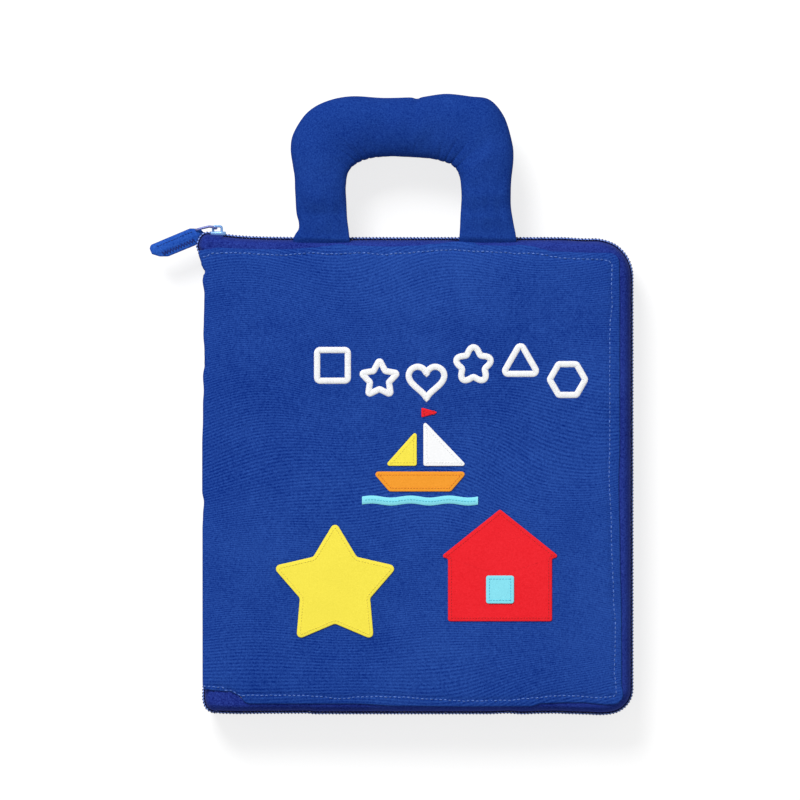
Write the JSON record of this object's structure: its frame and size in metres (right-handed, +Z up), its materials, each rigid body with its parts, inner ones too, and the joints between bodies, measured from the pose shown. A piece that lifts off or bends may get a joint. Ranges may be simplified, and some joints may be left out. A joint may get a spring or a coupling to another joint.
{
  "type": "baby activity book",
  "caption": "Zipped cloth activity book with padded covers, a stuffed carrying handle, stitched cover motifs and soft leaves that carry sliding and turning play pieces.",
  "frame": {"origin": "centre of the bounding box in plan, on the surface that the back cover rests on", "axes": "+X from the spine to the open side, +Y from the bottom edge to the edge with the handle, +Z up through the closed thickness"},
  "size_m": [0.2416, 0.3082, 0.0369],
  "materials": {
    "cover_cloth": "fine plain-woven royal blue polyester cloth, matte with a faint sheen",
    "handle_cloth": "the same blue cloth drawn tight over wadding",
    "lining_cloth": "plain light blue cloth",
    "foam": "white polyester foam and wadding",
    "zip_tape": "ribbed dark blue woven tape",
    "zip_coil": "dark navy nylon coil",
    "zip_metal": "bright plated zinc",
    "pull_cloth": "folded and stitched blue cloth",
    "leaf_cloth": "cream cloth padded with thin wadding",
    "felt_yellow": "yellow felt",
    "felt_red": "red felt",
    "felt_blue": "blue felt",
    "felt_cyan": "light blue cloth",
    "felt_orange": "orange thread and felt",
    "felt_green": "green felt",
    "thread_white": "white satin-stitch embroidery thread",
    "ribbon": "blue woven ribbon",
    "counter_plastic": "smooth bright plastic",
    "snap_plastic": "white resin snap"
  },
  "bodies": {
    "root": {"back_cover_cloth": "cover_cloth", "back_cover_foam": "foam", "back_cover_lining": "lining_cloth", "zip_tape_back": "zip_tape", "zip_coil_back": "zip_coil"},
    "spine": {"spine_cloth": "cover_cloth", "spine_lining": "lining_cloth", "binding_strip": "cover_cloth", "zip_end_tab_top": "cover_cloth", "zip_end_tab_bottom": "cover_cloth"},
    "front_cover": {"front_cover_cloth": "cover_cloth", "front_cover_foam": "foam", "front_cover_lining": "lining_cloth", "zip_tape_front": "zip_tape", "zip_coil_front": "zip_coil", "stitched_square": "thread_white", "stitched_star": "thread_white", "stitched_heart": "thread_white", "stitched_flower": "thread_white", "stitched_triangle": "thread_white", "stitched_hexagon": "thread_white", "star_patch": "felt_yellow", "house_patch": "felt_red", "window_patch": "felt_cyan", "boat_hull_patch": "felt_orange", "boat_main_sail_patch": "thread_white", "boat_jib_patch": "thread_white", "boat_pennant_patch": "felt_red", "boat_waves_patch": "felt_cyan"},
    "handle": {"handle_cover": "handle_cloth", "handle_wadding": "foam"},
    "slider": {"slider_body": "zip_metal"},
    "pull": {"pull_link": "zip_metal", "pull_tab": "pull_cloth"},
    "leaf_one": {"leaf_1": "leaf_cloth", "clock_dial": "felt_yellow", "clock_rivet": "snap_plastic"},
    "hour_hand": {"clock_hour_hand": "felt_red"},
    "minute_hand": {"clock_minute_hand": "felt_blue"},
    "leaf_two": {"leaf_2": "leaf_cloth", "counting_ribbon": "ribbon"},
    "counter_one": {"counter_1": "counter_plastic"},
    "counter_two": {"counter_2": "counter_plastic"},
    "counter_three": {"counter_3": "counter_plastic"},
    "leaf_three": {"leaf_3": "leaf_cloth", "felt_circle": "felt_red", "felt_square": "felt_green", "felt_triangle": "felt_orange"},
    "leaf_four": {"leaf_4": "leaf_cloth", "pocket_panel": "felt_cyan", "pocket_zip": "zip_tape"},
    "pocket_pull": {"pocket_slider": "zip_metal"}
  },
  "joints": [
    {"name": "spine_fold", "type": "hinge", "parent": "root", "child": "spine", "pos_m": [-0.09215, -0.0351, 0.0035], "axis": [0, -1, 0], "range_deg": [0, 90]},
    {"name": "cover_fold", "type": "hinge", "parent": "spine", "child": "front_cover", "pos_m": [-0.09215, -0.0351, 0.0325], "axis": [0, -1, 0], "range_deg": [0, 90]},
    {"name": "leaf_one_turn", "type": "hinge", "parent": "spine", "child": "leaf_one", "pos_m": [-0.08665, -0.0351, 0.0069], "axis": [0, -1, 0], "range_deg": [-54, 0]},
    {"name": "leaf_two_turn", "type": "hinge", "parent": "spine", "child": "leaf_two", "pos_m": [-0.08665, -0.0351, 0.01315], "axis": [0, -1, 0], "range_deg": [-18, 0]},
    {"name": "leaf_three_turn", "type": "hinge", "parent": "spine", "child": "leaf_three", "pos_m": [-0.08665, -0.0351, 0.0194], "axis": [0, -1, 0], "range_deg": [0, 18]},
    {"name": "leaf_four_turn", "type": "hinge", "parent": "spine", "child": "leaf_four", "pos_m": [-0.08665, -0.0351, 0.02565], "axis": [0, -1, 0], "range_deg": [0, 54]},
    {"name": "handle_swing", "type": "hinge", "parent": "front_cover", "child": "handle", "pos_m": [0.0061, 0.0804, 0.0325], "axis": [1, 0, 0], "range_deg": [0, 100]},
    {"name": "slider_travel", "type": "slide", "parent": "root", "child": "slider", "axis": [1, 0, 0], "range_m": [0, 0.185]},
    {"name": "pull_swing", "type": "hinge", "parent": "slider", "child": "pull", "pos_m": [-0.08765, 0.0886, 0.018], "axis": [0, 0, 1], "range_deg": [-180, 0]},
    {"name": "hour_hand_turn", "type": "hinge", "parent": "leaf_one", "child": "hour_hand", "pos_m": [0.0108, -0.0291, 0.0095], "axis": [0, 0, 1], "continuous": true},
    {"name": "minute_hand_turn", "type": "hinge", "parent": "leaf_one", "child": "minute_hand", "pos_m": [0.0108, -0.0291, 0.0105], "axis": [0, 0, 1], "continuous": true},
    {"name": "counter_one_slide", "type": "slide", "parent": "leaf_two", "child": "counter_one", "axis": [1, 0, 0], "range_m": [0, 0.029]},
    {"name": "counter_two_slide", "type": "slide", "parent": "leaf_two", "child": "counter_two", "axis": [1, 0, 0], "range_m": [0, 0.029]},
    {"name": "counter_three_slide", "type": "slide", "parent": "leaf_two", "child": "counter_three", "axis": [1, 0, 0], "range_m": [0, 0.029]},
    {"name": "pocket_zip_slide", "type": "slide", "parent": "leaf_four", "child": "pocket_pull", "axis": [1, 0, 0], "range_m": [0, 0.1]}
  ],
  "couplings": [
    {"joint": "cover_fold", "follows": "spine_fold", "ratio": 1},
    {"joint": "leaf_one_turn", "follows": "spine_fold", "ratio": -0.6},
    {"joint": "leaf_two_turn", "follows": "spine_fold", "ratio": -0.2},
    {"joint": "leaf_three_turn", "follows": "spine_fold", "ratio": 0.2},
    {"joint": "leaf_four_turn", "follows": "spine_fold", "ratio": 0.6}
  ]
}
